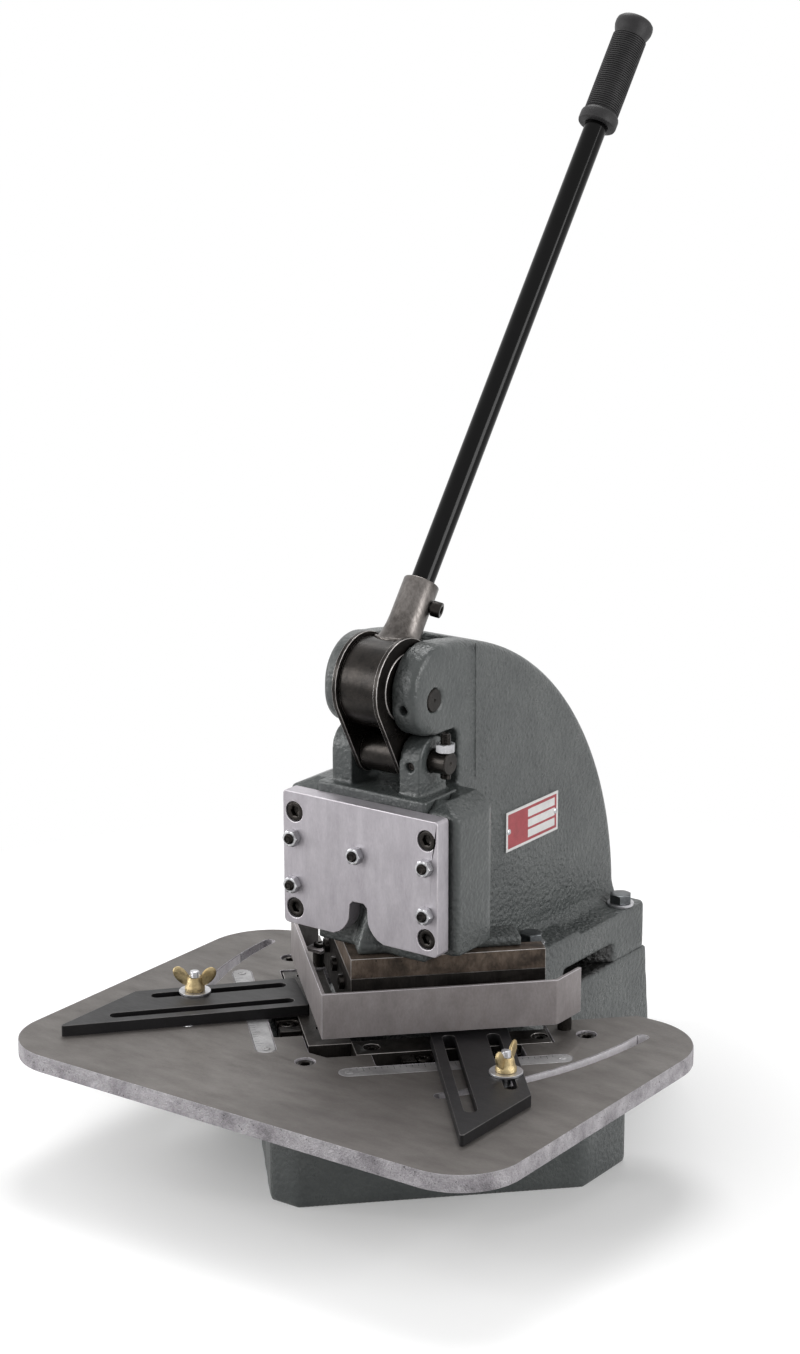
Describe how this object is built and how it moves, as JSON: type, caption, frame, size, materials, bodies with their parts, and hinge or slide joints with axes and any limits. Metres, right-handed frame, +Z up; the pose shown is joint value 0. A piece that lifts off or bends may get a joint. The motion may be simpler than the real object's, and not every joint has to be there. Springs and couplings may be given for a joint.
{
  "type": "corner notcher",
  "caption": "Bench press with a long hand lever that drives angled blades down between lower dies to cut square corners out of sheet metal",
  "frame": {"origin": "centre of the four bench bolts, on the underside of the base", "axes": "+X to the operator's right, +Y away from the operator, +Z up"},
  "size_m": [0.484, 0.602, 0.9181],
  "materials": {
    "casting_paint": "textured dark green-grey paint",
    "table_steel": "ground steel",
    "plate_steel": "fine brushed",
    "scale_steel": "satin",
    "blade_steel": "oiled, darkened",
    "black_steel": "black oxide",
    "zinc": "zinc plated",
    "bar_black": "gloss black",
    "grip_rubber": "matt",
    "bronze": "sintered bronze",
    "fence_black": "satin black",
    "wing_brass": "yellow passivated",
    "label": "printed plate"
  },
  "bodies": {
    "machine": {"base": "casting_paint", "frame": "casting_paint", "table": "table_steel", "left_scale": "scale_steel", "right_scale": "scale_steel", "scale_screws": "scale_steel", "table_screws": "black_steel", "left_lower_die": "table_steel", "right_lower_die": "table_steel", "lower_die_screws": "black_steel", "left_die_clamps": "black_steel", "right_die_clamps": "black_steel", "die_clamp_screws": "black_steel", "guard": "plate_steel", "guard_posts": "black_steel", "guard_screws": "black_steel", "front_plate": "plate_steel", "plate_screws": "black_steel", "jack_screws": "black_steel", "drag_screw": "black_steel", "lock_nuts": "zinc", "upper_pin": "black_steel", "pin_set_screw": "black_steel", "frame_bolts": "black_steel", "frame_washers": "zinc", "label_plate": "label", "label_pins": "zinc"},
    "lever": {"lever_hub": "black_steel", "hub_bush": "bronze", "handle_socket": "black_steel", "socket_screw": "black_steel", "handle_bar": "bar_black", "grip": "grip_rubber"},
    "links": {"left_link_plate": "black_steel", "right_link_plate": "black_steel"},
    "ram": {"ram": "casting_paint", "punch_block": "blade_steel", "left_blade": "blade_steel", "right_blade": "blade_steel", "blade_screws": "black_steel", "block_screws": "black_steel", "lower_pin": "black_steel", "lower_roller": "black_steel", "ram_set_screw": "black_steel", "stop_screw": "black_steel", "stop_nut": "zinc"},
    "left_clamp": {"left_clamp_bolt": "zinc"},
    "left_swivel": {"left_washer": "zinc"},
    "left_stop": {"left_fence": "fence_black"},
    "left_nut": {"left_wing_nut": "wing_brass"},
    "right_clamp": {"right_clamp_bolt": "zinc"},
    "right_swivel": {"right_washer": "zinc"},
    "right_stop": {"right_fence": "fence_black"},
    "right_nut": {"right_wing_nut": "wing_brass"}
  },
  "joints": [
    {"name": "lever_pull", "type": "hinge", "parent": "machine", "child": "lever", "pos_m": [0, -0.088, 0.3945], "axis": [1, 0, 0], "range_deg": [0, 100]},
    {"name": "ram_stroke", "type": "slide", "parent": "machine", "child": "ram", "axis": [0, 0, -1], "range_m": [0, 0.01849]},
    {"name": "link_swing", "type": "hinge", "parent": "lever", "child": "links", "pos_m": [0, -0.09571, 0.40369], "axis": [1, 0, 0], "range_deg": [-100, 0]},
    {"name": "left_clamp_travel", "type": "hinge", "parent": "machine", "child": "left_clamp", "pos_m": [0.159, 0.017, 0.1197], "axis": [0, 0, -1], "range_deg": [-7, 3]},
    {"name": "left_fence_swing", "type": "hinge", "parent": "left_clamp", "child": "left_swivel", "pos_m": [-0.15876, -0.15006, 0.1197], "axis": [0, 0, -1], "range_deg": [-5, 5]},
    {"name": "left_fence_slide", "type": "slide", "parent": "left_swivel", "child": "left_stop", "axis": [-0.6613, -0.7501, 0], "range_m": [0, 0.07]},
    {"name": "left_nut_turn", "type": "hinge", "parent": "left_clamp", "child": "left_nut", "pos_m": [-0.15876, -0.15006, 0.125], "axis": [0, 0, 1], "continuous": true},
    {"name": "right_clamp_travel", "type": "hinge", "parent": "machine", "child": "right_clamp", "pos_m": [-0.169, 0.017, 0.1197], "axis": [0, 0, 1], "range_deg": [-7, 3]},
    {"name": "right_fence_swing", "type": "hinge", "parent": "right_clamp", "child": "right_swivel", "pos_m": [0.15243, -0.14288, 0.1197], "axis": [0, 0, 1], "range_deg": [-5, 5]},
    {"name": "right_fence_slide", "type": "slide", "parent": "right_swivel", "child": "right_stop", "axis": [0.6613, -0.7501, 0], "range_m": [0, 0.07]},
    {"name": "right_nut_turn", "type": "hinge", "parent": "right_clamp", "child": "right_nut", "pos_m": [0.15243, -0.14288, 0.125], "axis": [0, 0, 1], "continuous": true}
  ],
  "couplings": [
    {"joint": "ram_stroke", "follows": "lever_pull", "m_per_rad": 0.010534},
    {"joint": "link_swing", "follows": "lever_pull", "ratio": -1}
  ]
}
